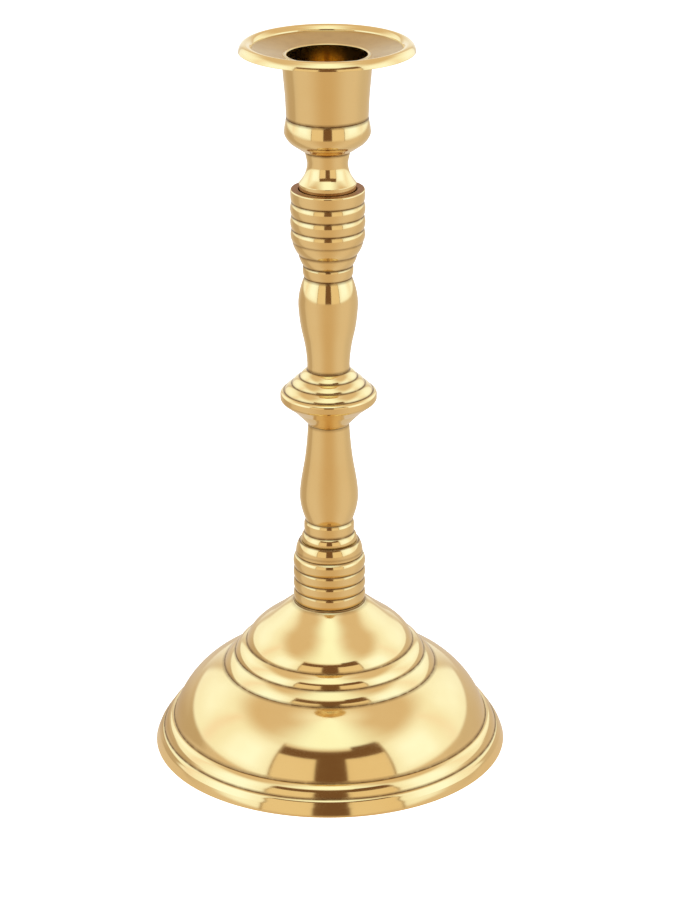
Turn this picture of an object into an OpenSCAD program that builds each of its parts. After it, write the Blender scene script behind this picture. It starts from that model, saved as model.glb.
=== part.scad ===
// Turned brass candlestick: hollow base, stem of turned sections on a tie rod,
// and a candle cup with a drip pan that unscrews from the stem.
// Millimetres, +Z up, origin on the table at the centre of the base.

/* [Base] */
// Radius of the base where it stands on the table
base_r = 51.5; // [50:0.1:53]
// Height of the seat that carries the stem
base_h = 44.6; // [44:0.1:46]
// Thickness of the hollow base's wall
base_wall = 2.6; // [2.2:0.1:3]
// Radius of the shoulder where the big dome ends and the two small steps begin
shoulder_r = 30.9; // [30:0.1:32]

/* [Reeded collars] */
// Radius at the bottom of the grooves between two reeds
reed_r = 10.05; // [9.8:0.05:10.3]
// How far each reed swells beyond its grooves
reed_swell = 0.4; // [0.2:0.05:0.6]
// Height of one reed of the lower collar
low_reed_h = 3.45; // [3.2:0.05:3.6]
// Height of one reed of the capital
top_reed_h = 3.85; // [3.6:0.05:4.1]

/* [Stem] */
// Widest radius of the two balusters
baluster_r = 8.4; // [8:0.1:8.8]
// Radius of the waists above and below the knop
waist_r = 5.9; // [5.7:0.1:6.2]
// Height of the lower baluster
low_baluster_h = 29.5; // [28:0.5:31]
// Height of the upper baluster, with the collar at its top
top_baluster_h = 30.5; // [29:0.5:32]
// Radius of the knop in the middle of the stem
knop_r = 13.7; // [13.2:0.1:14.2]
// Height of the knop
knop_h = 16.7; // [16:0.1:17.5]

/* [Candle cup] */
// Radius of the straight hole that takes the candle
bore_r = 11; // [10.8:0.05:11.1]
// Radius of the drip pan
pan_r = 24.2; // [23:0.1:26]
// Height from the foot of the cup to the top of its round belly
cup_foot_h = 20.9; // [20:0.1:22]
// Height of the candle socket's outside, from the belly to the drip pan
socket_h = 16.8; // [16:0.1:19]
// Height of the drip pan's rim above the pan's underside
pan_h = 3.9; // [3.5:0.1:4.3]

/* [Fastening] */
// Radius of the steel tie rod and of the cup's stud
rod_r = 3; // [2.5:0.1:3]
// Gap round the rod where it passes through a section
rod_gap = 0.2; // [0.1:0.05:0.3]
// Gap of the threads in the capital and the cup, on the radius
running_gap = 0.05; // [0.03:0.01:0.1]
// Gap of the nut's thread, on the radius
nut_gap = 0.02; // [0.01:0.01:0.05]
// Distance across the flats of the nut under the base
nut_flats = 10; // [9:0.5:11]
// Radius of the washer under the base
washer_r = 9; // [8:0.5:10]

/* [Hidden] */

// Degrees turned by one straight stretch of a rounded outline
arc_step = 12;
// Sides of the circles
$fn = 96;

// Spigot on top of a section, and the pocket in the section above that it centres
spigot_r = 4.4;
spigot_h = 1.5;
pocket_gap = 0.1;

// Heights at which the sections meet, from the table up
low_reeds = 4;
low_collar_h = low_reeds * low_reed_h + 4.7;
step_h = 6.4;
flare_h = 10.6;
top_reeds = 2;
capital_h = flare_h + top_reeds * top_reed_h + 3.6;
collar_z = base_h;
step_z = collar_z + low_collar_h;
low_baluster_z = step_z + step_h;
knop_z = low_baluster_z + low_baluster_h;
top_baluster_z = knop_z + knop_h;
capital_z = top_baluster_z + top_baluster_h;
capital_top_z = capital_z + capital_h;

// The cup stands in a shallow recess in the capital, a hair above its floor
recess_r = 8.2;
recess_depth = 0.8;
lift = 0.08;
cup_z = capital_top_z - recess_depth + lift;
socket_z = cup_z + cup_foot_h;
pan_z = socket_z + socket_h;

// Boss inside the base, with the washer and the nut below it
boss_z = base_h - 7.6;
washer_h = 1.5;
nut_h = 5;
rod_below_nut = 2;
rod_in_capital = 11.2;
// The stud stands half in the capital and half in the cup
stud_half = 8;

// Points of the arc from a to b that swells outward by bow at its middle
function bowed(a, b, bow) =
    let(
        run = norm(b - a),
        along = (b - a) / run,
        out = [along[1], -along[0]],
        half = 2 * atan(2 * bow / run),
        arc_r = run / (2 * sin(half)),
        steps = max(2, ceil(2 * abs(half) / arc_step))
    )
    [for (i = [1:steps])
        let(turn = half * (2 * i / steps - 1))
        (a + b) / 2 + arc_r * (along * sin(turn) + out * (cos(turn) - cos(half)))];

// Outline through corners [radius, height, bow], where bow belongs to the stretch that ends there
function outline(corners) =
    [for (i = [0:len(corners) - 1])
        let(here = [corners[i][0], corners[i][1]], bow = corners[i][2])
        each i == 0 || bow == undef ? [here]
            : bowed([corners[i - 1][0], corners[i - 1][1]], here, bow)];

function backward(points) = [for (i = [len(points) - 1:-1:0]) points[i]];

// Solid turned from its outside corners, with a straight hole along the axis
module turned(corners, hole_r) {
    points = outline(corners);
    rotate_extrude()
        polygon(concat([[hole_r, points[0][1]]], points,
            [[hole_r, points[len(points) - 1][1]]]));
}

// Straight round solid from low to high
module rod(r, low, high) {
    translate([0, 0, low])
        cylinder(r = r, h = high - low);
}

// Turned section of the stem: outside corners from its own foot, with a spigot above, a pocket
// below and the tie rod's hole through it
module section(z, corners) {
    translate([0, 0, z])
        difference() {
            turned(concat(corners, spigot_on(corners[len(corners) - 1][1])), rod_r + rod_gap);
            pocket();
        }
}

// Corners of a spigot that stands on a seat at height z
function spigot_on(z) = [[spigot_r, z], [spigot_r, z + spigot_h]];

// Pocket in the foot of a section for the spigot below it
module pocket() {
    rod(spigot_r + pocket_gap, -1, spigot_h + pocket_gap);
}

// Hollow base: two rounded steps at the foot, the big dome, two steps and the small dome
module base_dome() {
    step_1_r = shoulder_r - 3.25;
    step_2_r = step_1_r - 3.35;
    seat_r = reed_r + 0.3;
    outside = [
        [base_r, 0], [base_r - 0.6, 2.3, 0.08], [base_r - 1.1, 3.5, 0.06],
        [base_r - 2.5, 4.4, 0.25], [base_r - 2.9, 5.6, 0.04], [base_r - 3.4, 6.6, 0.08],
        [base_r - 5.5, 7.7, 0.3], [shoulder_r, 24.05, 2.45], [step_1_r, 27.75, 0.35],
        [step_2_r, 31.2, 0.6], [21.5, 35.5, 0.46], [17.3, 38.8, 0.28],
        [seat_r + 0.4, base_h - 0.8, 0.25], [seat_r, base_h - 0.4], [seat_r, base_h]];
    // The inside follows the outside, moved in and down by the wall's share on a 45 degree slope
    shift = base_wall * cos(45);
    inside = [
        [base_r - base_wall, 0], [base_r - 5.5 - shift, 7.7 - shift, 0.3],
        [shoulder_r - shift, 24.05 - shift, 2.45], [step_2_r - shift, 31.2 - shift, 0.4],
        [17.3 - shift, 38.8 - shift, 0.9], [11.5, boss_z]];
    hole_r = rod_r + rod_gap;
    color("#d9b25f")
        rotate_extrude()
            polygon(concat(outline(concat(outside, spigot_on(base_h))),
                [[hole_r, base_h + spigot_h], [hole_r, boss_z]],
                backward(outline(inside))));
}

// Collar of four reeds and a stepped ring above them
module lower_reeded_collar() {
    reeds = [for (i = [1:low_reeds]) [reed_r, i * low_reed_h, reed_swell]];
    top = low_reeds * low_reed_h;
    color("#dcb566")
        section(collar_z, concat([[reed_r, 0]], reeds,
            [[9.5, top + 0.5], [9.65, top + 1.6, 0.12], [8.9, top + 4.2, 0.15],
            [8.6, low_collar_h]]));
}

// Short collar that steps in to the foot of the lower baluster
module stepped_collar() {
    color("#d6ad5c")
        section(step_z, [[7.9, 0], [8.05, 0.8, 0.05], [7.15, 2.6, 0.15], [7.2, 5.5, 0.06],
            [6.8, step_h]]);
}

// Baluster with its belly low down
module lower_baluster() {
    color("#e0bb6c")
        section(low_baluster_z, [[6.75, 0], [baluster_r, 7.5, 0.3],
            [baluster_r - 1.2, 16.8, 0.15], [waist_r, low_baluster_h, -0.15]]);
}

// Disc knop: a flared underside, a rounded edge and three rings stepping in to the waist
module middle_knop() {
    rings = 3;
    top_r = waist_r + 0.1;
    edge = [knop_r - 1.1, 10.05];
    ring = [(edge[0] - top_r) / rings, (knop_h - 0.4 - edge[1]) / rings];
    rings_above = [for (i = [1:rings]) [edge[0] - i * ring[0], edge[1] + i * ring[1], 0.3]];
    color("#d9b25f")
        section(knop_z, concat(
            [[waist_r - 0.05, 0], [waist_r + 0.65, 0.9, -0.05], [knop_r - 3.9, 4.3],
            [knop_r - 1.1, 6.5], [knop_r, 7.7, 0.12], [knop_r, 8.9], [edge[0], edge[1], 0.35]],
            rings_above, [[top_r, knop_h]]));
}

// Baluster with its belly high up, and the plain collar under the capital
module upper_baluster() {
    neck_z = top_baluster_h - 3.4;
    belly_z = neck_z - 7.4;
    color("#e0bb6c")
        section(top_baluster_z, [[waist_r + 0.15, 0], [waist_r + 0.12, 1.4],
            [baluster_r - 1.2, 9.8, -0.2], [baluster_r - 0.15, belly_z - 3.2, 0.15],
            [baluster_r, belly_z, 0.05], [6.65, neck_z, 0.3], [7.05, neck_z + 1.2, 0.05],
            [7.1, neck_z + 2.8, 0.05], [6.95, top_baluster_h]]);
}

// Capital: two rings flaring out, the reeds, a top band, the threaded hole that holds both the
// tie rod and the stud, and the recess for the cup
module reeded_capital() {
    reeds = [for (i = [0:top_reeds]) [reed_r, flare_h + i * top_reed_h, reed_swell]];
    color("#dcb566")
        translate([0, 0, capital_z])
            difference() {
                turned(concat(
                    [[6.95, 0], [8.3, 3.4, 0.2], [reed_r - 0.1, 7.1, 0.28]], reeds,
                    [[reed_r + 0.3, capital_h - 2.1, 0.1],
                    [reed_r + 0.3, capital_h - 0.35, 0.05],
                    [reed_r, capital_h, 0.06]]), rod_r + running_gap);
                pocket();
                rod(recess_r, capital_h - recess_depth, capital_h + 1);
            }
}

// Threaded rod that clamps the stem between the capital and the nut
module tie_rod() {
    color("silver")
        rod(rod_r, boss_z - washer_h - nut_h - rod_below_nut, capital_z + rod_in_capital);
}

// Wide flat washer under the base's boss
module base_washer() {
    color("silver")
        difference() {
            rod(washer_r, boss_z - washer_h, boss_z);
            rod(rod_r + rod_gap, boss_z - washer_h - 1, boss_z + 1);
        }
}

// Hexagon nut on the tie rod
module base_nut() {
    corner_r = nut_flats / 2 / cos(30);
    low = boss_z - washer_h - nut_h;
    color("silver")
        difference() {
            translate([0, 0, low])
                cylinder(r = corner_r, h = nut_h, $fn = 6);
            rod(rod_r + nut_gap, low - 1, low + nut_h + 1);
        }
}

// Stud that the cup unscrews from
module cup_stud() {
    middle = capital_top_z - recess_depth;
    color("silver")
        rod(rod_r, middle - stud_half, middle + stud_half);
}

// Foot, waist and round belly of the cup, with the well that ends the candle's hole
module cup_foot() {
    well_r = 9.4;
    lip_r = 10.3;
    lip_h = 1;
    well_z = 17.1;
    belly = cup_foot_h - 3.8;
    color("#d9b25f")
        translate([0, 0, cup_z])
            difference() {
                turned([[7.6, 0], [7.6, 1], [7.95, 2, 0.1], [7.8, 3, 0.1], [6.6, 5.1, -0.1],
                    [5.67, 7.5, -0.15], [5.9, 9.4, -0.1], [6.4, 11.5, -0.05],
                    [9, 13.1, 0.2], [11.3, belly - 1.9, 0.35], [11.95, belly, 0.2],
                    [11.3, cup_foot_h, 0.1], [lip_r, cup_foot_h],
                    [lip_r, cup_foot_h + lip_h]], 0);
                rod(well_r, well_z, cup_foot_h + lip_h + 1);
                rod(rod_r + running_gap, -1, stud_half + 0.6);
            }
}

// Tapered tube with the candle's straight hole, a shoulder for the pan and a thin lip over it
module candle_socket() {
    shoulder_r = 12.35;
    neck_r = 11.7;
    lip_z = socket_h + 0.55;
    color("#e0bb6c")
        translate([0, 0, socket_z])
            rotate_extrude()
                polygon(outline([
                    [10.4, 0], [11.3, 0], [11.5, 4.7], [12.12, socket_h - 4.4, -0.05],
                    [shoulder_r, socket_h], [neck_r, socket_h], [neck_r, lip_z],
                    [neck_r + 0.4, lip_z], [neck_r + 0.2, lip_z + 0.25, 0.08],
                    [bore_r + 0.2, lip_z + 0.25, 0.03], [bore_r, lip_z + 0.1], [bore_r, 5],
                    [10.4, 1]]));
}

// Drip pan: a thin floor sloping to the hole, a small step up and a broad rounded rim
module drip_pan() {
    hole_r = 11.75;
    rim_r = pan_r - 3.8;
    color("#d2b27a")
        translate([0, 0, pan_z])
            rotate_extrude()
                polygon(outline([
                    [hole_r, 0], [rim_r - 0.8, 1.5], [pan_r - 0.5, 1.75, 0.05],
                    [pan_r, 2.05, 0.1], [pan_r - 2.2, pan_h, 0.49],
                    [rim_r, pan_h - 1.1, 0.15], [rim_r - 0.1, 2.4], [hole_r, 0.55]]));
}

base_dome();
lower_reeded_collar();
stepped_collar();
lower_baluster();
middle_knop();
upper_baluster();
reeded_capital();
tie_rod();
base_washer();
base_nut();
cup_stud();
cup_foot();
candle_socket();
drip_pan();
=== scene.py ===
"""Looks of a turned brass candlestick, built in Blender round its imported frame.

Every section is turned on a lathe made of geometry nodes from the corners of its outline, the
rod and the stud are cut by a thread tree, and each piece rides on its own body of the frame.
Outlines are in millimetres from the foot of their own piece; everything in Blender is in metres.
"""

import logging
import math
from dataclasses import dataclass, field
from enum import Enum
from typing import Any, Iterable, Sequence, Union

import bpy
from mathutils import Matrix, Vector


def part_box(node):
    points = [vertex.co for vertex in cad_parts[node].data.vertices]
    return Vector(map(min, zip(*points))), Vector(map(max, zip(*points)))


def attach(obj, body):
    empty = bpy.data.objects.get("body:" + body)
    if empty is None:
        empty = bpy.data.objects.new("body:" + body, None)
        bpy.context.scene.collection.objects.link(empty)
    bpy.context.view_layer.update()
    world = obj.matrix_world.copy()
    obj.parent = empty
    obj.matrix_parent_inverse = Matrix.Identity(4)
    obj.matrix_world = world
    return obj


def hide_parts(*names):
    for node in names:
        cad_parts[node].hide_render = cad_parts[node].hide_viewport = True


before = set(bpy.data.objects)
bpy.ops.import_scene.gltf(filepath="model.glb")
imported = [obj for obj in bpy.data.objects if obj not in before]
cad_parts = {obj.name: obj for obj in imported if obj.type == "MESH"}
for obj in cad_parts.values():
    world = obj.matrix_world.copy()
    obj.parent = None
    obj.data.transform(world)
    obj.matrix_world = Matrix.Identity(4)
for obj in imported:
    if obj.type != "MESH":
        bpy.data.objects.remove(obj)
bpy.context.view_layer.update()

LOG = logging.getLogger("candlestick")
MM = 0.001
TURN = 2 * math.pi
# Degrees in one radian
DEGREES = 360 / TURN
# Points closer than this are one point, in metres
WELD = 2e-6
# Faces that meet at more than this angle keep a sharp edge
SHARP_ANGLE = math.radians(40)
Colour = tuple[float, float, float]


class Body(Enum):
    """Bodies of the frame that a piece can ride on."""

    STEM = "stem"
    STUD = "cup_stud"
    CUP = "candle_cup"


class Slot(Enum):
    """Material slots of the record."""

    BRASS = "polished_brass"
    PAN = "pan_brass"
    ZINC = "zinc_steel"


# --------------------------------------------------------------------------- node trees


class Value:
    """A number in a node tree. Arithmetic on it adds the tree's Math nodes."""

    def __init__(self, tree: "Tree", socket: bpy.types.NodeSocket) -> None:
        """Wraps an output socket of the tree."""
        self.tree = tree
        self.socket = socket

    def math(self, operation: str, *others: "Number") -> "Value":
        """Adds one Math node.

        Args:
            operation: Name of the Math node's operation.
            others: Second and third operands.

        Returns:
            The node's result.
        """
        return self.tree.math(operation, self, *others)

    def __add__(self, other: "Number") -> "Value":
        """Sum."""
        return self.math("ADD", other)

    __radd__ = __add__

    def __sub__(self, other: "Number") -> "Value":
        """Difference."""
        return self.math("SUBTRACT", other)

    def __rsub__(self, other: "Number") -> "Value":
        """Difference from a plain number."""
        return self.tree.math("SUBTRACT", other, self)

    def __mul__(self, other: "Number") -> "Value":
        """Product."""
        return self.math("MULTIPLY", other)

    __rmul__ = __mul__

    def __truediv__(self, other: "Number") -> "Value":
        """Quotient."""
        return self.math("DIVIDE", other)

    def __rtruediv__(self, other: "Number") -> "Value":
        """Quotient of a plain number by this one."""
        return self.tree.math("DIVIDE", other, self)

    def __mod__(self, other: "Number") -> "Value":
        """Remainder."""
        return self.math("FLOORED_MODULO", other)

    def at_most(self, other: "Number") -> "Value":
        """The smaller of the two."""
        return self.math("MINIMUM", other)

    def at_least(self, other: "Number") -> "Value":
        """The larger of the two."""
        return self.math("MAXIMUM", other)

    def step(self, low: float, high: float) -> "Value":
        """Smooth step from 0 at low to 1 at high.

        Args:
            low: Value at which the step starts, which may be above high.
            high: Value at which it is complete.

        Returns:
            A number from 0 to 1.
        """
        node = self.tree.add("ShaderNodeMapRange", {"interpolation_type": "SMOOTHSTEP"},
                             {"Value": self, "From Min": low, "From Max": high})
        return Value(self.tree, node.outputs["Result"])


Number = Union[float, int, Value]


class Tree:
    """A shader or geometry node tree that is being built."""

    def __init__(self, nodes: bpy.types.NodeTree) -> None:
        """Wraps an empty node tree."""
        self.nodes = nodes

    def add(self, kind: str, settings: dict[str, Any] | None = None,
            inputs: dict[str | int, Any] | None = None) -> bpy.types.Node:
        """Adds a node, makes its settings and then feeds its sockets.

        Args:
            kind: Type name of the node.
            settings: Properties of the node.
            inputs: Socket name or number, and the value, Value or output socket that feeds it.

        Returns:
            The node.
        """
        node = self.nodes.nodes.new(kind)
        for name, setting in (settings or {}).items():
            setattr(node, name, setting)
        for key, value in (inputs or {}).items():
            self.feed(node.inputs[key], value)
        return node

    def feed(self, socket: bpy.types.NodeSocket, value: Any) -> None:
        """Links a Value or an output socket to the socket, or sets a plain value on it."""
        source = value.socket if isinstance(value, Value) else value
        if isinstance(source, bpy.types.NodeSocket):
            self.nodes.links.new(source, socket)
        elif isinstance(source, tuple) and socket.type == "RGBA":
            socket.default_value = (*source, 1.0)
        else:
            socket.default_value = source

    def math(self, operation: str, *operands: Number) -> Value:
        """Adds a Math node on the operands and returns its result."""
        node = self.add("ShaderNodeMath", {"operation": operation}, dict(enumerate(operands)))
        return Value(self, node.outputs[0])

    def value(self, node: bpy.types.Node, output: str | int = 0) -> Value:
        """One output of a node as a number."""
        return Value(self, node.outputs[output])

    def parts(self, vector: bpy.types.NodeSocket) -> tuple[Value, Value, Value]:
        """The three numbers of a vector."""
        node = self.add("ShaderNodeSeparateXYZ", None, {0: vector})
        return self.value(node, "X"), self.value(node, "Y"), self.value(node, "Z")

    def mix(self, factor: Number, first: Any, second: Any) -> bpy.types.NodeSocket:
        """Mixes two colours.

        Args:
            factor: 0 for the first colour and 1 for the second.
            first: Colour as a tuple or a socket.
            second: Colour as a tuple or a socket.

        Returns:
            The mixed colour's socket.
        """
        node = self.add("ShaderNodeMix", {"data_type": "RGBA"})
        self.feed(node.inputs[0], factor)
        self.feed(node.inputs[6], first)
        self.feed(node.inputs[7], second)
        return node.outputs[2]


class MaterialTree(Tree):
    """The node tree of a new material."""

    def __init__(self, name: str) -> None:
        """Makes the material and empties its tree."""
        self.material = bpy.data.materials.new(name)
        self.material.use_nodes = True
        super().__init__(self.material.node_tree)
        self.nodes.nodes.clear()

    def object_place(self) -> bpy.types.NodeSocket:
        """The place on the object that is shaded."""
        return self.add("ShaderNodeTexCoord").outputs["Object"]


def in_scene(name: str, data: bpy.types.ID) -> bpy.types.Object:
    """Makes an object of the data and links it to the scene."""
    made = bpy.data.objects.new(name, data)
    bpy.context.scene.collection.objects.link(made)
    return made


class GeometryTree(Tree):
    """A geometry node group with named inputs, ready for a modifier."""

    def __init__(self, name: str, inputs: dict[str, str]) -> None:
        """Makes the group and its sockets.

        Args:
            name: Name of the group.
            inputs: Name of each input after the geometry, and its socket type.
        """
        super().__init__(bpy.data.node_groups.new(name, "GeometryNodeTree"))
        face = self.nodes.interface
        face.new_socket("Geometry", in_out="INPUT", socket_type="NodeSocketGeometry")
        self.sockets = {n: face.new_socket(n, in_out="INPUT", socket_type=kind).identifier
                        for n, kind in inputs.items()}
        face.new_socket("Geometry", in_out="OUTPUT", socket_type="NodeSocketGeometry")
        self.source = self.add("NodeGroupInput")

    def given(self, name: str) -> Value:
        """A named number input of the group."""
        return Value(self, self.source.outputs[name])

    def index(self) -> Value:
        """The index of each point."""
        return self.value(self.add("GeometryNodeInputIndex"))

    def place(self, grid: Any, radius: Value, angle: Value, height: Value) -> bpy.types.NodeSocket:
        """Moves the points of a grid to where they belong round the axis.

        Args:
            grid: Socket of the grid's geometry.
            radius: Distance of each point from the axis.
            angle: Angle of each point round the axis.
            height: Height of each point.

        Returns:
            Socket of the turned geometry.
        """
        spot = self.add("ShaderNodeCombineXYZ", None, {
            0: radius * angle.math("COSINE"), 1: radius * angle.math("SINE"), 2: height})
        moved = self.add("GeometryNodeSetPosition", None,
                         {"Geometry": grid, "Position": spot.outputs[0]})
        return moved.outputs[0]

    def close(self, geometry: bpy.types.NodeSocket) -> None:
        """Welds the seam and the poles, smooths, and ends the tree with its material."""
        welded = self.add("GeometryNodeMergeByDistance", None,
                          {"Geometry": geometry, "Distance": WELD})
        smooth = self.add("GeometryNodeSetShadeSmooth", None, {0: welded.outputs[0]})
        real = self.add("GeometryNodeRealizeInstances", None, {0: smooth.outputs[0]})
        dressed = self.add("GeometryNodeSetMaterial", None, {
            "Geometry": real.outputs[0], "Material": self.source.outputs["Material"]})
        self.add("NodeGroupOutput", None, {0: dressed.outputs[0]})

    def run(self, name: str, source: bpy.types.Mesh, values: dict[str, Any]) -> bpy.types.Object:
        """Runs the group on a mesh and keeps the result as a plain mesh.

        Args:
            name: Name of the new object.
            source: Mesh that the modifier works on.
            values: Value of each named input.

        Returns:
            The new object, which has no modifier.
        """
        blank = in_scene(f"{name}_blank", source)
        modifier = blank.modifiers.new("Work", "NODES")
        modifier.node_group = self.nodes
        for key, value in values.items():
            modifier[self.sockets[key]] = value
        blank.update_tag()
        graph = bpy.context.evaluated_depsgraph_get()
        graph.update()
        mesh = bpy.data.meshes.new_from_object(blank.evaluated_get(graph))
        bpy.data.objects.remove(blank)
        mesh.name = name
        mesh.set_sharp_from_angle(angle=SHARP_ANGLE)
        return in_scene(name, mesh)


# --------------------------------------------------------------------------- outlines


@dataclass(frozen=True)
class Corner:
    """One corner of an outline.

    bow is how far the stretch that ends here swells outward at its middle, and smooth lets the
    outline run through the corner without an edge. dull is how worn, cast or tarnished the
    metal is from here on: 0 is polished, and 1 or more is stained all over. seam from 0 to 1
    gathers painted shade and dirt as a hollow does, and -1 keeps even a hollow clean.
    """

    radius: float
    height: float
    bow: float = 0.0
    smooth: bool = False
    dull: float = 0.0
    seam: float = 0.0

    def point(self) -> Vector:
        """The corner as a point in the plane of the outline."""
        return Vector((self.radius, self.height))


@dataclass(frozen=True)
class Stretch:
    """The curve between two corners, as a cubic with a handle at each end."""

    start: Vector
    end: Vector
    leave: Vector
    arrive: Vector
    handle: float

    def at(self, t: float) -> Vector:
        """The point at t, from 0 to 1."""
        near = self.start + self.leave * self.handle
        far = self.end - self.arrive * self.handle
        u = 1 - t
        return (self.start * u ** 3 + near * (3 * u * u * t) + far * (3 * u * t * t)
                + self.end * t ** 3)


class Outline:
    """Outline of a turned piece, with the metal on its left as it is followed."""

    # Points along a stretch lie no further apart than this length and this turn
    longest_step = 0.9
    turn_step = math.radians(5)
    # A rounded edge takes at most this share of a stretch
    edge_share = 0.3
    # Distance from a rounded edge to the point that holds the flat beside it flat
    support = 0.05
    # Distance over which the painted shade and dirt in a hollow thin out
    hollow_reach = 0.28
    # Sine of the least inward bend that gathers painted shade and dirt, and how much a bend gathers
    least_bend = 0.2
    shade_and_dirt_per_bend = 1.6

    def __init__(self, corners: Sequence[Corner], closed: bool = True, edge: float = 0.1) -> None:
        """Keeps the corners.

        Args:
            corners: Corners in order.
            closed: True for a ring, whose outline ends where it starts.
            edge: How far each sharp corner is rounded off.
        """
        self.corners = list(corners) + ([corners[0]] if closed else [])
        self.closed = closed
        self.edge = edge

    @staticmethod
    def _swing(a: Corner, b: Corner) -> tuple[Vector, Vector, float, float]:
        """Directions at both ends of a stretch, its length and half the angle it turns by."""
        chord = b.point() - a.point()
        run = chord.length
        along = chord / run
        out = Vector((along.y, -along.x))
        half = 2 * math.atan(2 * b.bow / run)
        return (along * math.cos(half) + out * math.sin(half),
                along * math.cos(half) - out * math.sin(half), run, half)

    def stretches(self) -> list[Stretch]:
        """The curves between the corners, with the directions shared at smooth corners."""
        pairs = list(zip(self.corners, self.corners[1:]))
        swings = [self._swing(a, b) for a, b in pairs]
        leaves = [s[0] for s in swings]
        arrives = [s[1] for s in swings]
        for i in range(1, len(pairs)):
            if pairs[i][0].smooth:
                shared = (arrives[i - 1] + leaves[i]).normalized()
                arrives[i - 1] = leaves[i] = shared
        return [Stretch(a.point(), b.point(), leave, arrive,
                        run / (3 * math.cos(half / 2) ** 2))
                for (a, b), (_, _, run, half), leave, arrive in zip(pairs, swings, leaves, arrives)]

    def _is_sharp(self, i: int) -> bool:
        """True where corner i is rounded off by the edge."""
        inner = 0 < i < len(self.corners) - 1
        return (inner or self.closed) and not self.corners[i].smooth

    def _stretch_points(self, i: int, curve: Stretch) -> list[Vector]:
        """Points of one stretch, cut short where it meets a sharp corner.

        Args:
            i: Number of the corner that the stretch starts from.
            curve: The stretch.

        Returns:
            Its points from start to end.
        """
        length = (curve.end - curve.start).length
        cut = min(self.edge, self.edge_share * length) / length
        first = cut if self._is_sharp(i) else 0.0
        last = 1 - (cut if self._is_sharp(i + 1) else 0.0)
        turn = curve.leave.angle(curve.arrive)
        count = max(1, math.ceil(turn / self.turn_step), math.ceil(length / self.longest_step))
        places = [first + (last - first) * k / count for k in range(count + 1)]
        margin = self.support / length
        if margin < 0.25 / count:
            places[1:1] = [first + margin]
            places[-1:-1] = [last - margin]
        return [curve.at(t) for t in places]

    def _hollows(self, curves: Sequence[Stretch]) -> list[tuple[Vector, float]]:
        """Corners that gather painted shade and dirt, and how much: the concave ones and the marked
        seams.
        """
        found = [(c.point(), c.seam) for c in self.corners if c.seam > 0]
        for before, after, corner in zip(curves, curves[1:], self.corners[1:]):
            bend = before.arrive.x * after.leave.y - before.arrive.y * after.leave.x
            if bend < -self.least_bend and corner.seam >= 0:
                found.append((after.start, min(1.0, -self.shade_and_dirt_per_bend * bend)))
        return found

    def rows(self) -> list[tuple[float, float, float, float]]:
        """Works out the outline.

        Returns:
            Radius and height in millimetres, painted shade and dirt from 0 to 1 and dull for each
            point in order, with the rounded edges put in.
        """
        curves = self.stretches()
        parts = [self._stretch_points(i, c) for i, c in enumerate(curves)]
        # Concave corners and seams between parts get painted shade mixed with dirt, which darkens
        # the brass there
        hollows = self._hollows(curves)
        points: list[tuple[Vector, float]] = []
        for i, part in enumerate(parts):
            dull = self.corners[i].dull
            if i and self._is_sharp(i):
                points += [(p, dull) for p in self._rounded(parts[i - 1][-1], curves[i].start,
                                                            part[0])]
            elif i:
                part = part[1:]
            points += [(p, dull) for p in part]
        if self.closed:
            points += [(p, points[0][1]) for p in self._rounded(parts[-1][-1], curves[0].start,
                                                                parts[0][0])]
            points.append(points[0])
        return [(p.x, p.y, self._shade_and_dirt(p, hollows), dull) for p, dull in points]

    def _shade_and_dirt(self, point: Vector, hollows: Iterable[tuple[Vector, float]]) -> float:
        """How much painted shade and dirt a point has, from the hollows near it."""
        return max((much * math.exp(-((point - spot).length / self.hollow_reach) ** 2)
                    for spot, much in hollows), default=0.0)

    @staticmethod
    def _rounded(a: Vector, corner: Vector, b: Vector) -> list[Vector]:
        """Points between a and b on the small curve that rounds off a corner."""
        return [a * (1 - t) ** 2 + corner * (2 * t * (1 - t)) + b * t * t
                for t in (0.2, 0.4, 0.6, 0.8)]


# --------------------------------------------------------------------------- lathe and thread


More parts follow.
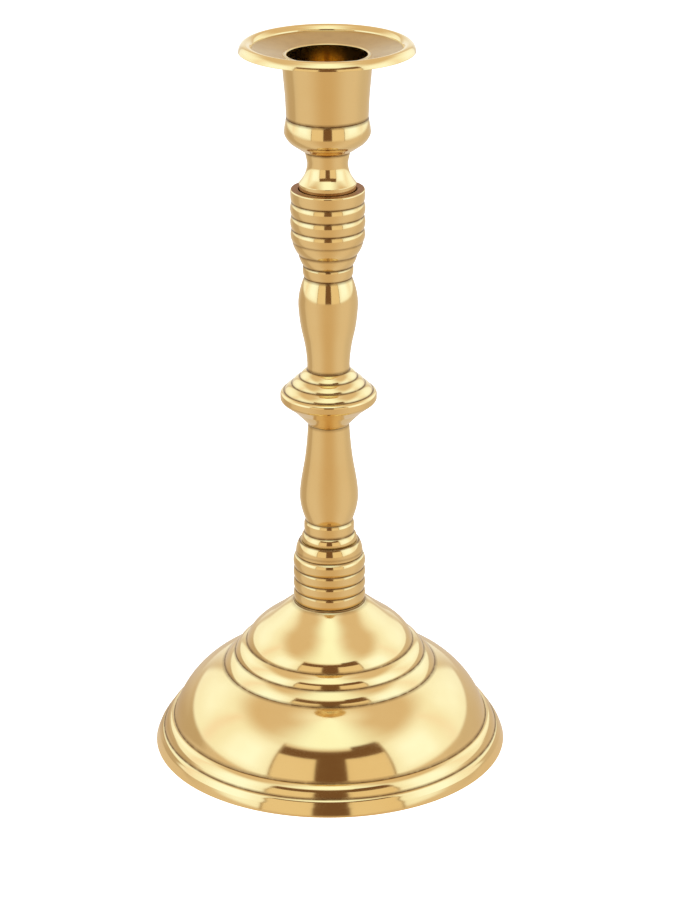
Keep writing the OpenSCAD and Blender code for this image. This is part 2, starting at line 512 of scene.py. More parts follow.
class Lathe:
    """Turns outlines into solids of revolution with one geometry node group."""

    # A round piece never reaches this radius in metres, so its flats cut nothing
    no_flats = 1.0

    def __init__(self) -> None:
        """Builds the group: a grid of rows and columns, wrapped round the axis."""
        tree = GeometryTree("Lathe", {
            "Segments": "NodeSocketInt", "Flat Radius": "NodeSocketFloat",
            "Material": "NodeSocketMaterial"})
        outline = tree.source.outputs["Geometry"]
        size = tree.add("GeometryNodeAttributeDomainSize", {"component": "MESH"}, {0: outline})
        rows = tree.value(size, "Point Count")
        segments = tree.given("Segments")
        grid = tree.add("GeometryNodeMeshGrid", None, {
            "Vertices X": segments + 1, "Vertices Y": rows})
        row = tree.index() % rows
        column = (tree.index() / rows).math("FLOOR")
        angle = column / segments * TURN
        place = self._sampled(tree, outline, "FLOAT_VECTOR",
                              tree.add("GeometryNodeInputPosition").outputs[0], row)
        out, _, height = tree.parts(place)
        sixth = TURN / 6
        to_flat = ((angle % sixth) - sixth / 2).math("COSINE")
        radius = out.at_most(tree.given("Flat Radius") / to_flat)
        turned = tree.place(grid.outputs["Mesh"], radius, angle, height)
        # groove carries the painted shade and dirt of the hollows onto every point
        for name in ("groove", "dull"):
            known = tree.add("GeometryNodeInputNamedAttribute", {"data_type": "FLOAT"},
                             {"Name": name})
            value = self._sampled(tree, outline, "FLOAT", known.outputs["Attribute"], row)
            turned = tree.add("GeometryNodeStoreNamedAttribute",
                              {"data_type": "FLOAT", "domain": "POINT"},
                              {"Geometry": turned, "Name": name, "Value": value}).outputs[0]
        tree.close(turned)
        self.tree = tree

    @staticmethod
    def _sampled(tree: GeometryTree, source: bpy.types.NodeSocket, kind: str,
                 value: bpy.types.NodeSocket, row: Value) -> bpy.types.NodeSocket:
        """The value that the outline has at the row of each point of the grid."""
        node = tree.add("GeometryNodeSampleIndex", {"data_type": kind, "domain": "POINT"},
                        {"Geometry": source, "Value": value, "Index": row})
        return node.outputs[0]

    def turn(self, name: str, outline: Outline, foot: float, material: bpy.types.Material,
             segments: int = 192, flat_radius: float = no_flats) -> bpy.types.Object:
        """Turns one piece.

        Args:
            name: Name of the piece.
            outline: Its outline, in millimetres above its foot.
            foot: Height of its foot, in metres.
            material: What it is made of.
            segments: Faces in one turn.
            flat_radius: Distance of six flats from the axis, in metres.

        Returns:
            The piece as a plain closed mesh.
        """
        rows = outline.rows()
        mesh = bpy.data.meshes.new(f"{name}_outline")
        mesh.from_pydata([(r * MM, 0.0, foot + h * MM) for r, h, _, _ in rows],
                         [(i, i + 1) for i in range(len(rows) - 1)], [])
        # groove is the painted shade and dirt of the hollows, dull the worn metal
        for column, key in ((2, "groove"), (3, "dull")):
            mesh.attributes.new(key, "FLOAT", "POINT").data.foreach_set(
                "value", [row[column] for row in rows])
        return self.tree.run(name, mesh, {
            "Segments": segments, "Flat Radius": flat_radius, "Material": material})


@dataclass(frozen=True)
class Thread:
    """Sizes of a thread, and the lengths at a rod's foot and top that it is cut on, in metres."""

    pitch: float = 1.0 * MM
    depth: float = 0.5 * MM
    foot: float = 12 * MM
    top: float = 12 * MM
    chamfer: float = 0.6 * MM


class ThreadCutter:
    """Cuts threaded rods with one geometry node group."""

    rows_per_pitch = 8
    segments = 48

    def __init__(self) -> None:
        """Builds the group: a wrapped grid whose radius follows the thread's helix."""
        tree = GeometryTree("Threaded Rod", {
            "Radius": "NodeSocketFloat", "Low": "NodeSocketFloat", "High": "NodeSocketFloat",
            "Pitch": "NodeSocketFloat", "Depth": "NodeSocketFloat",
            "Foot Thread": "NodeSocketFloat", "Top Thread": "NodeSocketFloat",
            "Chamfer": "NodeSocketFloat", "Rows": "NodeSocketInt",
            "Material": "NodeSocketMaterial"})
        radius, low, high = (tree.given(n) for n in ("Radius", "Low", "High"))
        pitch, rows, chamfer = (tree.given(n) for n in ("Pitch", "Rows", "Chamfer"))
        grid = tree.add("GeometryNodeMeshGrid", None, {
            "Vertices X": self.segments + 1, "Vertices Y": rows})
        row = tree.index() % rows
        angle = (tree.index() / rows).math("FLOOR") * (TURN / self.segments)
        last = rows - 1
        # The first and the last row are the poles, and share their heights with their neighbours
        inner = (row.at_least(1).at_most(last - 1) - 1) / (last - 2)
        height = low + (high - low) * inner
        phase = (height / pitch - angle / TURN) % 1.0
        wave = (phase * 2 - 1).math("ABSOLUTE").step(0.1, 0.9)
        from_foot = height - low
        from_top = high - height
        threaded = from_foot.math("LESS_THAN", tree.given("Foot Thread")).math(
            "MAXIMUM", from_top.math("LESS_THAN", tree.given("Top Thread")))
        crest = radius - tree.given("Depth") * wave * threaded
        ends = from_foot.at_most(from_top) + (radius - chamfer)
        rim = row.at_most(last - row).at_most(1)
        turned = tree.place(grid.outputs["Mesh"], crest.at_most(ends) * rim, angle, height)
        tree.close(turned)
        self.tree = tree

    def cut(self, name: str, radius: float, low: float, high: float, thread: Thread,
            material: bpy.types.Material) -> bpy.types.Object:
        """Cuts one rod.

        Args:
            name: Name of the piece.
            radius: Radius over the crests, in metres.
            low: Height of its lower end.
            high: Height of its upper end.
            thread: Its thread.
            material: What it is made of.

        Returns:
            The rod as a plain closed mesh.
        """
        rows = round((high - low) / thread.pitch * self.rows_per_pitch) + 3
        return self.tree.run(name, bpy.data.meshes.new(f"{name}_blank"), {
            "Radius": radius, "Low": low, "High": high, "Pitch": thread.pitch,
            "Depth": thread.depth, "Foot Thread": thread.foot, "Top Thread": thread.top,
            "Chamfer": thread.chamfer, "Rows": rows, "Material": material})


# --------------------------------------------------------------------------- finishes


class Metal(MaterialTree):
    """The parts that the shaders of all the metals share."""

    def __init__(self, name: str) -> None:
        """Makes the Principled shader and the coordinates round the axis."""
        super().__init__(name)
        self.shader = self.add("ShaderNodeBsdfPrincipled", None, {"Metallic": 1.0})
        self.add("ShaderNodeOutputMaterial", None, {"Surface": self.shader.outputs[0]})
        self.spot = self.object_place()
        x, y, self.height = self.parts(self.spot)
        self.radius = (x * x + y * y).math("SQRT")
        self.angle = y.math("ARCTAN2", x)

    def attribute(self, name: str) -> Value:
        """A number that the lathe stored on the points."""
        return self.value(self.add("ShaderNodeAttribute", {"attribute_name": name}), "Fac")

    def noise(self, scale: float, detail: float = 2.0, rough: float = 0.5,
              where: Any = None) -> Value:
        """Even noise from 0 to 1.

        Args:
            scale: Bumps per metre, or per unit of where.
            detail: Number of finer layers.
            rough: Strength of the finer layers.
            where: Coordinates, or None for the object's own.

        Returns:
            The noise.
        """
        node = self.add("ShaderNodeTexNoise", None, {
            "Vector": where or self.spot, "Scale": scale, "Detail": detail, "Roughness": rough})
        return self.value(node, 0)

    def lathe_marks(self, per_mm: float, drift: float = 0.15) -> Value:
        """Noise that is the same all the way round, as a turning tool leaves it.

        Args:
            per_mm: Marks in a millimetre.
            drift: How much the marks wander in one turn.

        Returns:
            The noise, from 0 to 1.
        """
        where = self.add("ShaderNodeCombineXYZ", None, {
            0: self.radius * (per_mm / MM), 1: self.height * (per_mm / MM),
            2: self.angle.math("SINE") * drift})
        return self.noise(1.0, 3.0, 0.6, where.outputs[0])

    def bump(self, layers: Sequence[tuple[Value, float]]) -> None:
        """Raises the surface by each layer.

        Args:
            layers: Height from 0 to 1 and the real size of that height, in metres.
        """
        total = layers[0][0] * layers[0][1]
        for value, depth in layers[1:]:
            total = total + value * depth
        node = self.add("ShaderNodeBump", None, {
            "Strength": 1.0, "Distance": 1.0, "Height": total})
        self.feed(self.shader.inputs["Normal"], node.outputs[0])


@dataclass(frozen=True)
class Brass:
    """Turned and polished brass, with painted shade and dirt in its grooves and duller stretches.

    polish is the roughness of the clean metal and worn what a dull stretch adds to it. The
    depths of the polisher's waves, the turning marks and the grain of dull metal are in metres.
    """

    name: str
    bright: Colour = (0.91, 0.73, 0.38)
    deep: Colour = (0.89, 0.69, 0.34)
    stained: Colour = (0.38, 0.19, 0.08)
    # Colour of the painted shade and dirt in the grooves and seams
    shade_and_dirt: Colour = (0.16, 0.07, 0.02)
    polish: float = 0.07
    worn: float = 0.32
    marks_per_mm: float = 3.0
    wave_depth: float = 9e-6
    mark_depth: float = 0.25e-6
    dull_mark_depth: float = 5e-6
    grain_depth: float = 4e-6

    def make(self) -> bpy.types.Material:
        """Builds the material.

        Returns:
            The finished material.
        """
        metal = Metal(self.name)
        groove = metal.attribute("groove")
        dull = metal.attribute("dull")
        cloud = metal.noise(55.0, 3.0)
        blotch = metal.noise(380.0, 4.0, 0.6)
        marks = metal.lathe_marks(self.marks_per_mm)
        smear = metal.noise(140.0, 5.0, 0.65)
        body = metal.mix(cloud.step(0.35, 0.75), self.bright, self.deep)
        stain = dull * (blotch * 0.5 + 0.55)
        body = metal.mix(stain.at_most(1.0), body, self.stained)
        # The grooves and seams are darkened with painted shade mixed with dirt
        shade_and_grime = groove * (blotch.step(0.1, 0.6) * 0.5 + 0.5)
        colour = metal.mix(shade_and_grime.at_most(1.0), body, self.shade_and_dirt)
        metal.feed(metal.shader.inputs["Base Color"], colour)
        rough = (smear.step(0.45, 0.85) * 0.05 + marks * 0.03 + dull * self.worn
                 + groove * 0.25 + self.polish)
        metal.feed(metal.shader.inputs["Roughness"], rough)
        metal.bump([(metal.noise(95.0, 1.0), self.wave_depth),
                    (marks, self.mark_depth),
                    (metal.lathe_marks(self.marks_per_mm, 0.05) * dull, self.dull_mark_depth),
                    (metal.noise(2600.0, 2.0) * dull, self.grain_depth)])
        return metal.material


@dataclass(frozen=True)
class Zinc:
    """Zinc-plated steel, brushed and faintly clouded. The depths are in metres."""

    name: str
    colour: Colour = (0.62, 0.63, 0.64)
    shade: Colour = (0.45, 0.46, 0.48)
    polish: float = 0.28
    mark_depth: float = 2e-6
    grain_depth: float = 3e-6

    def make(self) -> bpy.types.Material:
        """Builds the material.

        Returns:
            The finished material.
        """
        metal = Metal(self.name)
        cloud = metal.noise(260.0, 4.0, 0.6)
        marks = metal.lathe_marks(6.0)
        metal.feed(metal.shader.inputs["Base Color"],
                   metal.mix(cloud.step(0.3, 0.7), self.colour, self.shade))
        metal.feed(metal.shader.inputs["Roughness"], cloud * 0.15 + marks * 0.1 + self.polish)
        metal.bump([(marks, self.mark_depth), (metal.noise(3000.0, 2.0), self.grain_depth)])
        return metal.material


# --------------------------------------------------------------------------- the candlestick


@dataclass
class Shop:
    """The tools and the finishes that every sub-assembly is made with."""

    lathe: Lathe = field(default_factory=Lathe)
    cutter: ThreadCutter = field(default_factory=ThreadCutter)
    brass: bpy.types.Material = field(default_factory=Brass("PolishedBrass").make)
    pan_brass: bpy.types.Material = field(
        default_factory=Brass("SatinPanBrass", stained=(0.46, 0.33, 0.18), polish=0.08,
                              worn=0.24).make)
    zinc: bpy.types.Material = field(default_factory=Zinc("ZincPlatedSteel").make)

    def fit(self, piece: bpy.types.Object, node: str, body: Body, slot: Slot) -> bpy.types.Object:
        """Puts a finished piece in the place of its node.

        Args:
            piece: The piece.
            node: Node of the frame that it stands for.
            body: Body that it rides on.
            slot: Not used.

        Returns:
            The piece.
        """
        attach(piece, body.value)
        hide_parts(node)
        LOG.info("%s: %d faces on %s", piece.name, len(piece.data.polygons), body.value)
        return piece


def foot_of(node: str) -> float:
    """Height of the lowest point of a node, in metres."""
    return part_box(node)[0].z


def top_of(node: str) -> float:
    """Height of the highest point of a node, in metres."""
    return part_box(node)[1].z


def radius_of(node: str) -> float:
    """Largest radius of a node, in millimetres."""
    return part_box(node)[1].x / MM


def height_of(node: str) -> float:
    """Height of a node above its own foot, in millimetres."""
    return (top_of(node) - foot_of(node)) / MM


@dataclass
class TurnedStem:
    """The hollow base and the turned sections that stand on it.

    A spigot on top of each fits with some play into the pocket under the next. cast and tarnish
    are how dull the inside of the base and the top of the capital are.
    """

    spigot_r: float = 4.4
    spigot_h: float = 1.5
    play: float = 0.1
    hole_r: float = 3.2
    tapped_r: float = 3.05
    boss_h: float = 37.0
    boss_r: float = 11.5
    reed_r: float = 10.05
    reed_swell: float = 0.4
    recess_r: float = 8.2
    capital_h: float = 21.9
    cast: float = 0.6
    tarnish: float = 1.3

    def spigot(self, seat: float) -> list[Corner]:
        """Corners of the spigot on a seat, up to the rod's hole."""
        return [Corner(self.spigot_r, seat), Corner(self.spigot_r, seat + self.spigot_h),
                Corner(self.hole_r, seat + self.spigot_h)]

    def pocket(self, hole_r: float) -> list[Corner]:
        """Corners from the rod's hole down through the pocket in the foot of a section."""
        r, h = self.spigot_r + self.play, self.spigot_h + self.play
        return [Corner(hole_r, h), Corner(r, h), Corner(r, 0)]

    def section(self, outside: Sequence[Corner]) -> Outline:
        """Outline of a section from its outside, with its spigot, hole and pocket."""
        return Outline([*outside, *self.spigot(outside[-1].height), *self.pocket(self.hole_r)])

    def base(self) -> Outline:
        """Hollow base: two rounded steps, the big dome, two steps and the small dome.

        Returns:
            The outline, outside first and then down the cast inside.
        """
        rim = radius_of("base_dome")
        seat = self.reed_r + 0.3
        h = height_of("base_dome") - self.spigot_h
        outside = [
            Corner(rim, 0), Corner(rim - 0.9, 2.4, 0.06, smooth=True),
            Corner(rim - 1.5, 3.4, 0.06, smooth=True), Corner(rim - 2.5, 4.4, 0.2, seam=0.8),
            Corner(rim - 3.05, 5.6, 0.04, smooth=True), Corner(rim - 3.7, 6.6, 0.07, smooth=True),
            Corner(rim - 5.5, 7.7, 0.3, seam=0.9), Corner(30.9, 24.05, 2.45),
            Corner(27.65, 27.75, 0.35), Corner(24.3, 31.2, 0.6),
            Corner(21.5, 35.5, 0.46, smooth=True), Corner(17.3, 38.8, 0.28, smooth=True),
            Corner(seat + 0.4, h - 0.8, 0.25), Corner(seat, h - 0.4),
            Corner(seat, h, seam=0.8)]
        cast = [(self.hole_r, self.boss_h, 0), (self.boss_r, self.boss_h, 0),
                (15.46, 36.96, 0), (22.46, 29.36, -0.9), (29.06, 22.21, -0.4),
                (44.16, 5.86, -2.45)]
        inside = [*(Corner(*place, dull=self.cast) for place in cast),
                  Corner(rim - 2.6, 0, -0.3)]
        return Outline([*outside, *self.spigot(h), *inside], edge=0.14)

    def lower_collar(self) -> Outline:
        """Collar of four reeds and a stepped ring above them."""
        reeds = [Corner(self.reed_r, i * 3.45, self.reed_swell) for i in range(1, 5)]
        return self.section([
            Corner(self.reed_r, 0, seam=1), *reeds, Corner(9.5, 14.3), Corner(9.65, 15.4, 0.12),
            Corner(8.9, 18.0, 0.15), Corner(8.6, 18.5, seam=1)])

    def stepped_collar(self) -> Outline:
        """Short collar that steps in to the foot of the lower baluster."""
        return self.section([
            Corner(7.9, 0, seam=1), Corner(8.05, 0.8, 0.05), Corner(7.15, 2.6, 0.15),
            Corner(7.2, 5.5, 0.06), Corner(6.8, 6.4, seam=0.7)])

    def lower_baluster(self) -> Outline:
        """Baluster with its belly low down."""
        return self.section([
            Corner(6.75, 0, seam=0.7), Corner(8.4, 7.5, 0.3, smooth=True),
            Corner(7.2, 16.8, 0.15, smooth=True), Corner(5.9, 29.5, -0.15, seam=0.6)])

    def knop(self) -> Outline:
        """Disc knop: a flared underside, a rounded edge and three rings above it."""
        disc_r, disc_h, step, rise, rings = 12.6, 10.05, 2.2, 2.083, 3
        above = [Corner(disc_r - i * step, disc_h + i * rise, 0.3)
                 for i in range(1, rings + 1)]
        return self.section([
            Corner(5.85, 0, seam=0.8), Corner(6.55, 0.9, -0.05), Corner(9.8, 4.3),
            Corner(12.6, 6.5), Corner(13.7, 7.7, 0.12), Corner(13.7, 8.9),
            Corner(disc_r, disc_h, 0.35), *above, Corner(6.0, 16.7, seam=0.8)])

    def upper_baluster(self) -> Outline:
        """Baluster with its belly high up, and the plain collar under the capital."""
        return self.section([
            Corner(6.05, 0, seam=0.6), Corner(6.02, 1.4), Corner(7.2, 9.8, -0.2, smooth=True),
            Corner(8.25, 16.5, 0.15, smooth=True), Corner(8.4, 19.7, 0.05, smooth=True),
            Corner(6.65, 27.1, 0.3), Corner(7.05, 28.3, 0.05, smooth=True),
            Corner(7.1, 29.9, 0.05), Corner(6.95, 30.5, seam=1)])

    def capital(self) -> Outline:
        """Capital: two flaring rings, the reeds, a top band and the recess for the cup."""
        reeds = [Corner(self.reed_r, 10.6 + i * 3.85, self.reed_swell) for i in range(3)]
        dark, top, floor = self.tarnish, self.capital_h, 21.1
        return Outline([
            Corner(6.95, 0, seam=1), Corner(8.3, 3.4, 0.2), Corner(9.95, 7.1, 0.28), *reeds,
            Corner(10.35, 19.8, 0.1, smooth=True), Corner(10.35, 21.55, 0.05),
            Corner(10.05, top, 0.06, dull=dark), Corner(self.recess_r, top, dull=dark),
            Corner(self.recess_r, floor, dull=dark), Corner(self.tapped_r, floor),
            *self.pocket(self.tapped_r)])

    def build(self, shop: Shop) -> list[bpy.types.Object]:
        """Turns the base and every section of the stem.

        Args:
            shop: Tools and finishes.

        Returns:
            The pieces.
        """
        outlines = {
            "base_dome": self.base(), "lower_reeded_collar": self.lower_collar(),
            "stepped_collar": self.stepped_collar(), "lower_baluster": self.lower_baluster(),
            "middle_knop": self.knop(), "upper_baluster": self.upper_baluster(),
            "reeded_capital": self.capital()}
        return [shop.fit(shop.lathe.turn(f"turned_{node}", outline, foot_of(node), shop.brass),
                         node, Body.STEM, Slot.BRASS)
                for node, outline in outlines.items()]


@dataclass
class Fastening:
    """The tie rod with its washer and nut, and the stud that the cup unscrews from."""

    washer_edge: float = 0.25
    washer_hole_r: float = 3.2
    nut_flats: float = 10.0
    hole_r: float = 3.02

    def washer(self) -> Outline:
        """Flat washer, its edges rounded by the punch."""
        hole, r, h = self.washer_hole_r, radius_of("base_washer"), height_of("base_washer")
        return Outline([Corner(hole, 0), Corner(r, 0), Corner(r, h), Corner(hole, h)],
                       edge=self.washer_edge)

    def nut(self) -> Outline:
        """Outline that the nut's flats are cut from, chamfered at both faces."""
        corner = self.nut_flats / 2 / math.cos(TURN / 12)
        face = self.nut_flats / 2 * 0.96
        h = height_of("base_nut")
        slope = (corner - face) * math.tan(TURN / 12)
        hole = self.hole_r
        return Outline([
            Corner(hole + 0.4, 0), Corner(face, 0), Corner(corner, slope),
            Corner(corner, h - slope), Corner(face, h), Corner(hole + 0.4, h),
            Corner(hole, h - 0.4), Corner(hole, 0.4)], edge=0.08)

    def build(self, shop: Shop) -> list[bpy.types.Object]:
        """Makes the four steel pieces.

        Args:
            shop: Tools and finishes.

        Returns:
            The pieces.
        """
        washer = shop.lathe.turn("punched_base_washer", self.washer(), foot_of("base_washer"),
                                 shop.zinc, 96)
        nut = shop.lathe.turn("hexagon_base_nut", self.nut(), foot_of("base_nut"), shop.zinc,
                              96, self.nut_flats / 2 * MM)
        rod = self._rod("threaded_tie_rod", "tie_rod", Thread(), shop)
        half = (top_of("cup_stud") - foot_of("cup_stud")) / 2
        stud = self._rod("threaded_cup_stud", "cup_stud", Thread(foot=half, top=half + MM), shop)
        return [shop.fit(washer, "base_washer", Body.STEM, Slot.ZINC),
                shop.fit(nut, "base_nut", Body.STEM, Slot.ZINC),
                shop.fit(rod, "tie_rod", Body.STEM, Slot.ZINC),
                shop.fit(stud, "cup_stud", Body.STUD, Slot.ZINC)]

    @staticmethod
    def _rod(name: str, node: str, thread: Thread, shop: Shop) -> bpy.types.Object:
        """Cuts the rod that stands for a node."""
        return shop.cutter.cut(name, radius_of(node) * MM, foot_of(node), top_of(node), thread,
                               shop.zinc)


@dataclass
class CandleCup:
    """The cup that unscrews: its foot with the round belly, the socket and the drip pan.

    soot and satin are how dull the candle's hole and the floor of the pan are.
    """

    bore_r: float = 11.0
    well_r: float = 9.4
    well_h: float = 17.1
    stud_r: float = 3.05
    stud_depth: float = 8.6
    soot: float = 0.03
    satin: float = 0.8

    def foot(self) -> Outline:
        """Foot, waist and round belly, with the well at the bottom of the candle's hole.

        Returns:
            The outline, from the stud's hole round to the middle of the well.
        """
        return Outline([
            Corner(0, self.stud_depth, dull=self.satin),
            Corner(self.stud_r, self.stud_depth, dull=self.satin), Corner(self.stud_r, 0),
            Corner(7.7, 0), Corner(7.9, 0.7, 0.04, smooth=True), Corner(7.95, 2.5, 0.04),
            Corner(7.5, 3.05, -0.01, smooth=True), Corner(6.6, 4.4, -0.04, smooth=True),
            Corner(6.15, 5.4, -0.03, smooth=True), Corner(5.67, 7.5, -0.08, smooth=True),
            Corner(5.9, 9.4, -0.1, smooth=True), Corner(6.4, 11.5, -0.05),
            Corner(9, 13.1, 0.2, smooth=True), Corner(11.3, 15.2, 0.35, smooth=True),
            Corner(11.95, 17.1, 0.2, smooth=True), Corner(11.3, 20.9, 0.1, seam=1),
            Corner(10.3, 20.9), Corner(10.3, 21.9), Corner(self.well_r, 21.9, dull=self.soot),
            Corner(self.well_r, self.well_h, dull=self.soot), Corner(0, self.well_h)],
            closed=False)

    def socket(self) -> Outline:
        """Tapered tube with the candle's straight hole and a thin lip."""
        bore = self.bore_r
        return Outline([
            Corner(10.4, 0), Corner(11.3, 0, seam=1), Corner(11.5, 4.7, smooth=True),
            Corner(12.12, 12.4, -0.05, smooth=True), Corner(12.35, 16.8), Corner(11.7, 16.8),
            Corner(11.7, 17.35), Corner(12.1, 17.35), Corner(11.9, 17.6, 0.08, smooth=True),
            Corner(bore + 0.2, 17.6, 0.03, smooth=True), Corner(bore, 17.45, dull=self.soot),
            Corner(bore, 5, dull=self.soot), Corner(10.4, 1)], edge=0.08)

    def pan(self) -> Outline:
        """Drip pan: a floor sloping to the hole, a small step up and a broad rounded rim."""
        r = radius_of("drip_pan")
        h = height_of("drip_pan")
        return Outline([
            Corner(11.75, 0), Corner(19.6, 1.5), Corner(r - 0.6, 1.45, 0.05), Corner(r, 1.6),
            Corner(r - 0.15, 2.2, 0.02, smooth=True), Corner(r - 2.2, h - 0.02, 0.42, smooth=True),
            Corner(r - 3.8, h - 1.1, 0.15), Corner(r - 3.9, 2.4, dull=self.satin, seam=-1),
            Corner(11.75, 0.55)], edge=0.1)

    def build(self, shop: Shop) -> list[bpy.types.Object]:
        """Turns the three pieces of the cup.

        Args:
            shop: Tools and finishes.

        Returns:
            The pieces.
        """
        made = {"cup_foot": (self.foot(), shop.brass, Slot.BRASS),
                "candle_socket": (self.socket(), shop.brass, Slot.BRASS),
                "drip_pan": (self.pan(), shop.pan_brass, Slot.PAN)}
        return [shop.fit(shop.lathe.turn(f"turned_{node}", outline, foot_of(node), metal),
                         node, Body.CUP, slot)
                for node, (outline, metal, slot) in made.items()]


# --------------------------------------------------------------------------- the studio


class Glow(MaterialTree):
    """A glowing material of the studio, which is never part of the candlestick."""

    def direction(self) -> tuple[Value, Value]:
        """Direction of each place from the middle of its object.

        Returns:
            Degrees round from the camera's side, positive to its right, and degrees up.
        """
        x, y, z = self.parts(self.object_place())
        out = (x * x + y * y).math("SQRT")
        return x.math("ARCTAN2", y * -1) * DEGREES, z.math("ARCTAN2", out) * DEGREES

    def emission(self, colour: Any, strength: float) -> bpy.types.Node:
        """An emission shader."""
        return self.add("ShaderNodeEmission", None, {"Color": colour, "Strength": strength})

    def sum(self, first: bpy.types.Node, second: bpy.types.Node) -> bpy.types.NodeSocket:
        """Both shaders together."""
        return self.add("ShaderNodeAddShader", None, {
            0: first.outputs[0], 1: second.outputs[0]}).outputs[0]

    def finish(self, surface: bpy.types.NodeSocket) -> None:
        """Ends the material with this surface."""
        self.add("ShaderNodeOutputMaterial", None, {"Surface": surface})


@dataclass(frozen=True)
class Panel:
    """One patch of the tent, in degrees round from the camera's side and degrees up."""

    left: float
    right: float
    low: float
    high: float
    colour: Colour
    side_blur: float = 1.5
    low_blur: float = 1.5
    high_blur: float = 1.5
    strength: float = 1.0

    def mask(self, round_: Value, up: Value) -> Value:
        """How much of the patch there is in a direction.

        Args:
            round_: Degrees round from the camera's side, positive to its right.
            up: Degrees above the middle of the tent.

        Returns:
            A number from 0 to 1.
        """
        wide = (round_.step(self.left - self.side_blur, self.left + self.side_blur)
                * round_.step(self.right + self.side_blur, self.right - self.side_blur))
        tall = (up.step(self.low - self.low_blur, self.low + self.low_blur)
                * up.step(self.high + self.high_blur, self.high - self.high_blur))
        return wide * tall * self.strength


LIT = (1.14, 1.32, 1.5)
GLOW = (1.06, 1.13, 1.14)
SHADE = (1.04, 0.98, 0.95)
OVERHEAD = (1.12, 1.3, 1.32)
WARM = (0.88, 0.73, 0.52)
BROWN = (0.42, 0.29, 0.16)
DARK = (0.19, 0.1, 0.05)
BACKDROP = (1.0, 1.02, 1.05)
# Later patches lie over earlier ones
PANELS = (
    Panel(-152, -43, 0, 44, GLOW, 3, 2, 9),
    Panel(45, 152, 0, 44, GLOW, 3, 2, 9),
    Panel(-84, -52, 4, 34, LIT, 9, 6, 9),
    Panel(-144, -114, 12, 32, LIT, 9, 8, 8, 0.7),
    Panel(54, 86, 4, 34, LIT, 9, 6, 9),
    Panel(116, 144, 8, 32, LIT, 9, 8, 8, 0.7),
    Panel(-106, -97, 0, 42, SHADE, 6, 4, 4),
    Panel(97, 106, 0, 42, SHADE, 6, 4, 4, 0.7),
    Panel(-44, 44, 44, 120, OVERHEAD, 34, 4, 4),
    Panel(-42, 44, 0, 32, WARM, 1.5, 1, 1),
    Panel(-43.5, -42, -2, 44, BROWN, 0.6, 1, 2),
    Panel(44.5, 46, -2, 44, BROWN, 0.6, 1, 2),
    Panel(-42, 44, 30.5, 41, DARK, 1.5, 1.2, 2),
    Panel(19, 44, 31, 45.5, DARK, 1.5, 1.2, 1.5),
    Panel(-11, 12, 0, 32, DARK, 1.2, 1.5, 1.5),
    Panel(158, 202, -40, 28, BACKDROP, 8, 6, 12),
    Panel(-202, -158, -40, 28, BACKDROP, 8, 6, 12),
)


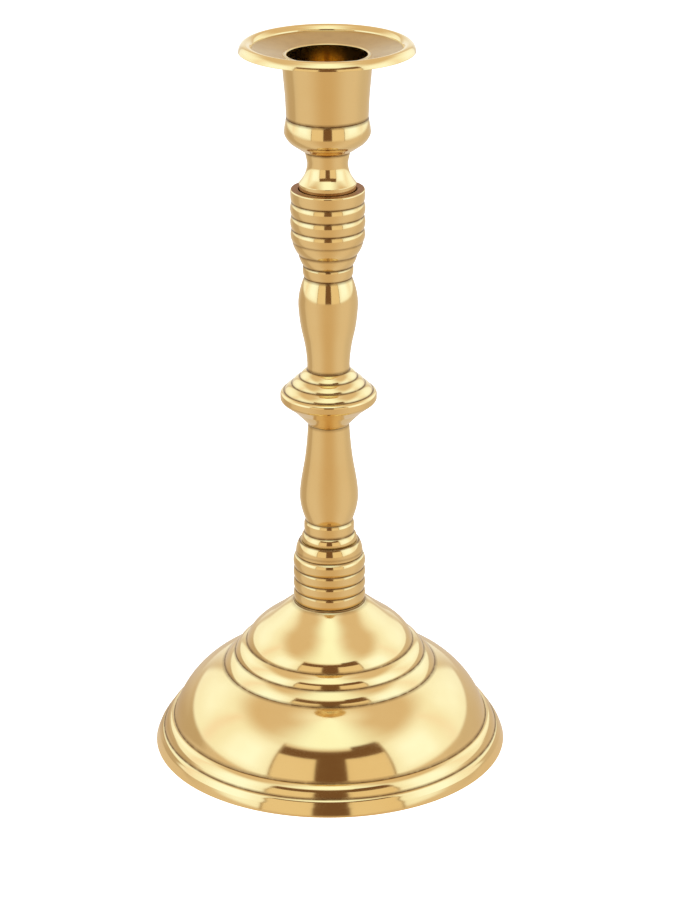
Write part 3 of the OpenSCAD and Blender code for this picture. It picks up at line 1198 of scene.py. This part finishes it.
@dataclass
class Studio:
    """Floor, lights and camera. None of it is part of the candlestick."""

    lens: float = 109.45
    distance: float = 0.7430
    camera_height: float = 0.3856
    pitch: float = math.radians(21.869)
    yaw: float = math.radians(0.278)
    roll: float = math.radians(-0.150)
    tent_r: float = 0.8
    tent_z: float = 0.1
    floor_glow: float = 0.8
    table_front: Colour = (0.68, 0.5, 0.32)
    table_side: Colour = (0.78, 0.65, 0.52)
    table_left: Colour = (0.58, 0.46, 0.34)
    table_beside: Colour = (0.69, 0.58, 0.47)
    table_back: Colour = (0.72, 0.63, 0.55)
    high_cloth: Colour = (0.78, 0.63, 0.47)
    top_cloth: Colour = (1.08, 1.13, 1.11)

    def camera(self) -> None:
        """Makes the camera and points it slightly down at the stem."""
        right = Vector((math.cos(self.yaw), -math.sin(self.yaw), 0))
        level = Vector((math.sin(self.yaw), math.cos(self.yaw), 0))
        up = level * math.sin(self.pitch) + Vector((0, 0, math.cos(self.pitch)))
        back = Vector((0, 0, math.sin(self.pitch))) - level * math.cos(self.pitch)
        c, s = math.cos(self.roll), math.sin(self.roll)
        axes = Matrix((right * c + up * s, up * c - right * s, back)).transposed()
        data = bpy.data.cameras.new("Camera")
        data.lens = self.lens
        data.sensor_width = 36
        data.clip_start = 0.01
        camera = in_scene("Camera", data)
        camera.matrix_world = (Matrix.Translation((0, -self.distance, self.camera_height))
                               @ axes.to_4x4())
        bpy.context.scene.camera = camera

    def floor(self) -> None:
        """Lays a large pale floor, and the warm table top that only the brass shows."""
        pale = Glow("PaleFloor")
        paper = pale.add("ShaderNodeBsdfDiffuse", None, {"Color": (0.9, 0.9, 0.9)})
        pale.finish(pale.sum(paper, pale.emission((1.0, 1.0, 1.0), self.floor_glow)))
        floor = self._plane("Floor", 3.0, pale.material)
        floor.visible_glossy = False
        table = Glow("WarmTable")
        colour = self._table_colour(table, table.direction()[0])
        table.finish(table.emission(colour, 1.0).outputs[0])
        self._only_reflected(self._plane("TableTop", 3.0, table.material))

    def _table_colour(self, tree: Glow, round_: Value) -> bpy.types.NodeSocket:
        """Colour of the table top, which changes with the direction from the stem.

        Args:
            tree: Material that the colour is for.
            round_: Degrees round from the camera's side, positive to its right.

        Returns:
            The colour's socket.
        """
        aside = round_.math("ABSOLUTE")
        colour = tree.mix(aside.step(5, 60), self.table_front, self.table_side)
        colour = tree.mix(aside.step(75, 110), colour, self.table_beside)
        colour = tree.mix(aside.step(125, 165), colour, self.table_back)
        left = round_.step(-94, -104) * round_.step(-150, -120)
        return tree.mix(left, colour, self.table_left)

    @staticmethod
    def _only_reflected(card: bpy.types.Object) -> None:
        """Leaves an object to be seen in the brass alone."""
        card.visible_camera = False
        card.visible_diffuse = False
        card.visible_shadow = False

    @staticmethod
    def _plane(name: str, side: float, material: bpy.types.Material) -> bpy.types.Object:
        """Lays a square sheet on the ground."""
        mesh = bpy.data.meshes.new(name)
        mesh.from_pydata([(-side, -side, 0), (side, -side, 0), (side, side, 0), (-side, side, 0)],
                         [], [(0, 1, 2, 3)])
        mesh.materials.append(material)
        sheet = in_scene(name, mesh)
        return sheet

    def tent(self) -> None:
        """Puts up the round tent whose panels the brass reflects."""
        mesh = bpy.data.meshes.new("LightTent")
        rings, sides = 24, 48
        ups = [math.pi * (i / rings - 0.5) for i in range(rings + 1)]
        points = [(self.tent_r * math.cos(TURN * j / sides) * math.cos(up),
                   self.tent_r * math.sin(TURN * j / sides) * math.cos(up),
                   self.tent_r * math.sin(up))
                  for up in ups for j in range(sides)]
        faces = [(i * sides + j, i * sides + (j + 1) % sides, (i + 1) * sides + (j + 1) % sides,
                  (i + 1) * sides + j) for i in range(rings) for j in range(sides)]
        mesh.from_pydata(points, [], faces)
        tent = in_scene("LightTent", mesh)
        tent.location = (0, 0, self.tent_z)
        mesh.materials.append(self._cloth())
        self._only_reflected(tent)

    def _cloth(self) -> bpy.types.Material:
        """Paints the tent's inside: its lit panels, the warm cloth between them and the opening.

        Returns:
            The glowing material.
        """
        cloth = Glow("TentCloth")
        round_, up = cloth.direction()
        colour = cloth.mix(up.step(0, 40), self._table_colour(cloth, round_), self.high_cloth)
        colour = cloth.mix(up.step(66, 88), colour, self.top_cloth)
        for panel in PANELS:
            colour = cloth.mix(panel.mask(round_, up), colour, panel.colour)
        cloth.finish(cloth.emission(colour, 1.0).outputs[0])
        return cloth.material

    def light(self) -> None:
        """Hangs two big soft boxes and fills the rest with a pale sky."""
        self._soft_box("LeftBox", (-0.9, -0.6, 0.9), (0.9, 0.9), 9)
        self._soft_box("RightBox", (0.9, -0.6, 0.9), (0.9, 0.9), 9)
        world = bpy.data.worlds.new("Studio")
        world.use_nodes = True
        bpy.context.scene.world = world
        tree = Tree(world.node_tree)
        tree.nodes.nodes.clear()
        sky = tree.add("ShaderNodeBackground", None, {"Color": (1.0, 1.0, 1.0), "Strength": 0.6})
        tree.add("ShaderNodeOutputWorld", None, {"Surface": sky.outputs[0]})

    @staticmethod
    def _soft_box(name: str, spot: tuple[float, float, float], size: tuple[float, float],
                  power: float) -> None:
        """Hangs one rectangular light that faces the middle of the stem.

        Args:
            name: Name of the light.
            spot: Where it hangs, in metres.
            size: Its width and height.
            power: Its power, in watts.
        """
        data = bpy.data.lights.new(name, "AREA")
        data.shape = "RECTANGLE"
        data.size, data.size_y = size
        data.energy = power
        lamp = in_scene(name, data)
        lamp.location = spot
        aim = Vector((0, 0, 0.1)) - Vector(spot)
        lamp.rotation_euler = aim.to_track_quat("-Z", "Y").to_euler()
        lamp.visible_glossy = False
        lamp.visible_camera = False

    def build(self) -> None:
        """Sets up the floor, the lights, the camera and the plain view."""
        self.floor()
        self.tent()
        self.light()
        self.camera()
        bpy.context.scene.view_settings.view_transform = "Standard"


def main() -> None:
    """Builds the candlestick from the base up, and the studio round it."""
    logging.basicConfig(level=logging.INFO, format="%(name)s: %(message)s")
    shop = Shop()
    for assembly in (TurnedStem(), Fastening(), CandleCup()):
        assembly.build(shop)
    Studio().build()


if __name__ == "__main__":
    main()
